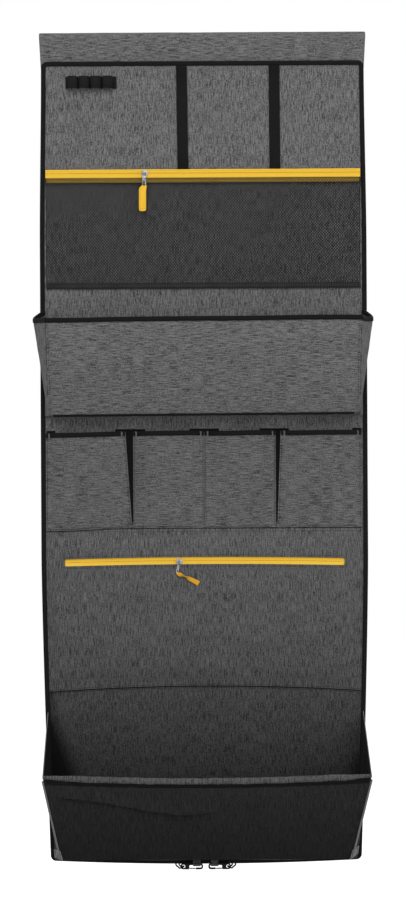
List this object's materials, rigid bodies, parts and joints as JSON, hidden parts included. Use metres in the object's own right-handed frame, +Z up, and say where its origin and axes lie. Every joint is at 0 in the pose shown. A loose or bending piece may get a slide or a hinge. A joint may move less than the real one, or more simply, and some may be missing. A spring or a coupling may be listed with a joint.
{
  "type": "tent organizer",
  "caption": "Hanging fabric organizer with a pole sleeve, straps, elastic loops, a zipped mesh pocket, a gusseted shelf pocket, pleated pockets, a zipped pocket, a deep bin and snap hooks.",
  "frame": {"origin": "on the axis of the pole sleeve, at the middle of its width", "axes": "+X along the pole sleeve to the panel's right as seen from the front, -Y out of the panel's front, +Z up"},
  "size_m": [0.4676, 0.1266, 1.157],
  "materials": {
    "panel_cloth": "matte woven, vertical grain",
    "dark_panel_cloth": "matte woven, darker",
    "pocket_cloth": "matte woven, horizontal grain",
    "sleeve_cloth": "matte woven, horizontal grain",
    "lining": "matte",
    "board": "matte sheet",
    "binding": "ribbed tape",
    "webbing": "woven webbing",
    "closure_tape": "matte pile",
    "zip_tape": "woven tape",
    "zip_coil": "satin nylon coil",
    "zip_tab": "woven ribbon",
    "metal": "bright",
    "mesh": "open knit",
    "pleat_cloth": "matte",
    "bin_cloth": "matte woven",
    "hem_cloth": "matte, vertical grain",
    "piping": "matte",
    "hook_plastic": "satin",
    "gate_plastic": "satin"
  },
  "bodies": {
    "panel": {"back_lining": "lining", "backing_board": "board", "upper_panel": "panel_cloth", "middle_panel": "panel_cloth", "lower_panel": "panel_cloth", "bottom_panel": "dark_panel_cloth", "zip_pocket_bag": "lining", "edge_binding": "binding", "sleeve_front": "sleeve_cloth", "sleeve_loop_tape": "closure_tape", "strap_left": "webbing", "strap_right": "webbing", "elastic_loops": "webbing", "mesh_pocket": "mesh", "mesh_hem": "binding", "top_zip_upper_tape": "zip_tape", "top_zip_lower_tape": "zip_tape", "top_zip_coil": "zip_coil", "window_zip_tape": "zip_tape", "window_zip_coil": "zip_coil", "shelf_gusset_left": "pocket_cloth", "shelf_gusset_right": "pocket_cloth", "shelf_gusset_binding_left": "binding", "shelf_gusset_binding_right": "binding", "pleat_left": "pleat_cloth", "pleat_right": "pleat_cloth", "bin_gusset_left": "bin_cloth", "bin_gusset_right": "bin_cloth", "parking_tab_left": "panel_cloth", "parking_tab_right": "panel_cloth", "cord_loop_left": "binding", "cord_loop_right": "binding", "pocket_1": "pocket_cloth", "pocket_binding_1": "binding", "pocket_2": "pocket_cloth", "pocket_binding_2": "binding", "pocket_3": "pocket_cloth", "pocket_binding_3": "binding", "pocket_4": "pocket_cloth", "pocket_binding_4": "binding"},
    "sleeve_flap": {"sleeve_flap": "sleeve_cloth", "sleeve_hook_tape": "closure_tape"},
    "top_zip_slider": {"top_zip_slider": "metal"},
    "top_zip_pull": {"top_zip_pull": "metal"},
    "top_zip_tab": {"top_zip_tab": "zip_tab"},
    "window_zip_slider": {"window_zip_slider": "metal"},
    "window_zip_pull": {"window_zip_pull": "metal"},
    "window_zip_tab": {"window_zip_tab": "zip_tab"},
    "shelf_front": {"shelf_front": "pocket_cloth", "shelf_binding": "binding"},
    "bin_floor": {"bin_floor": "bin_cloth"},
    "bin_front": {"bin_front": "bin_cloth", "bin_hem": "hem_cloth", "bin_piping_left": "piping", "bin_piping_right": "piping"},
    "hook_left": {"hook_left": "hook_plastic"},
    "hook_right": {"hook_right": "hook_plastic"},
    "gate_left": {"hook_gate_left": "gate_plastic"},
    "gate_right": {"hook_gate_right": "gate_plastic"}
  },
  "joints": [
    {"name": "sleeve_flap_open", "type": "hinge", "parent": "panel", "child": "sleeve_flap", "pos_m": [0, 0, 0.022], "axis": [1, 0, 0], "range_deg": [0, 120]},
    {"name": "top_zip_slide", "type": "slide", "parent": "panel", "child": "top_zip_slider", "axis": [1, 0, 0], "range_m": [-0.1255, 0.2855]},
    {"name": "top_zip_pull_swing", "type": "hinge", "parent": "top_zip_slider", "child": "top_zip_pull", "pos_m": [-0.08, -0.0219, -0.1738], "axis": [-1, 0, 0], "range_deg": [0, 110]},
    {"name": "top_zip_tab_swing", "type": "hinge", "parent": "top_zip_pull", "child": "top_zip_tab", "pos_m": [-0.08, -0.0219, -0.1897], "axis": [-1, 0, 0], "range_deg": [0, 60]},
    {"name": "window_zip_slide", "type": "slide", "parent": "panel", "child": "window_zip_slider", "axis": [1, 0, 0], "range_m": [-0.1505, 0.2205]},
    {"name": "window_zip_pull_swing", "type": "hinge", "parent": "window_zip_slider", "child": "window_zip_pull", "pos_m": [-0.035, -0.0213, -0.7083], "axis": [-1, 0, 0], "range_deg": [0, 110]},
    {"name": "window_zip_tab_swing", "type": "hinge", "parent": "window_zip_pull", "child": "window_zip_tab", "pos_m": [-0.035, -0.0213, -0.7242], "axis": [-1, 0, 0], "range_deg": [0, 60]},
    {"name": "shelf_front_fold", "type": "hinge", "parent": "panel", "child": "shelf_front", "pos_m": [0, -0.0158, -0.508], "axis": [-1, 0, 0], "range_deg": [0, 19], "deforming": ["shelf_gusset_left", "shelf_gusset_right", "shelf_gusset_binding_left", "shelf_gusset_binding_right"]},
    {"name": "bin_floor_fold", "type": "hinge", "parent": "panel", "child": "bin_floor", "pos_m": [0, -0.0169, -1.1173], "axis": [-1, 0, 0], "range_deg": [0, 66], "deforming": ["bin_gusset_left", "bin_gusset_right"]},
    {"name": "bin_front_fold", "type": "hinge", "parent": "bin_floor", "child": "bin_front", "pos_m": [0, -0.0908, -1.103], "axis": [-1, 0, 0], "range_deg": [-53, 0]},
    {"name": "hook_swing_left", "type": "hinge", "parent": "panel", "child": "hook_left", "pos_m": [-0.0044, -0.01913, -1.12665], "axis": [1, 0, 0], "range_deg": [-40, 40], "deforming": ["cord_loop_left"]},
    {"name": "hook_swing_right", "type": "hinge", "parent": "panel", "child": "hook_right", "pos_m": [0.0026, -0.01913, -1.12665], "axis": [1, 0, 0], "range_deg": [-40, 40], "deforming": ["cord_loop_right"]},
    {"name": "gate_spring_left", "type": "hinge", "parent": "hook_left", "child": "gate_left", "pos_m": [-0.02205, -0.01913, -1.13245], "axis": [0, -1, 0], "range_deg": [0, 12], "stiffness_Nm_per_rad": 0.02, "springref_deg": -5.73},
    {"name": "gate_spring_right", "type": "hinge", "parent": "hook_right", "child": "gate_right", "pos_m": [0.02025, -0.01913, -1.13245], "axis": [0, 1, 0], "range_deg": [0, 12], "stiffness_Nm_per_rad": 0.02, "springref_deg": -5.73}
  ],
  "couplings": [
    {"joint": "bin_front_fold", "follows": "bin_floor_fold", "ratio": -0.8}
  ]
}
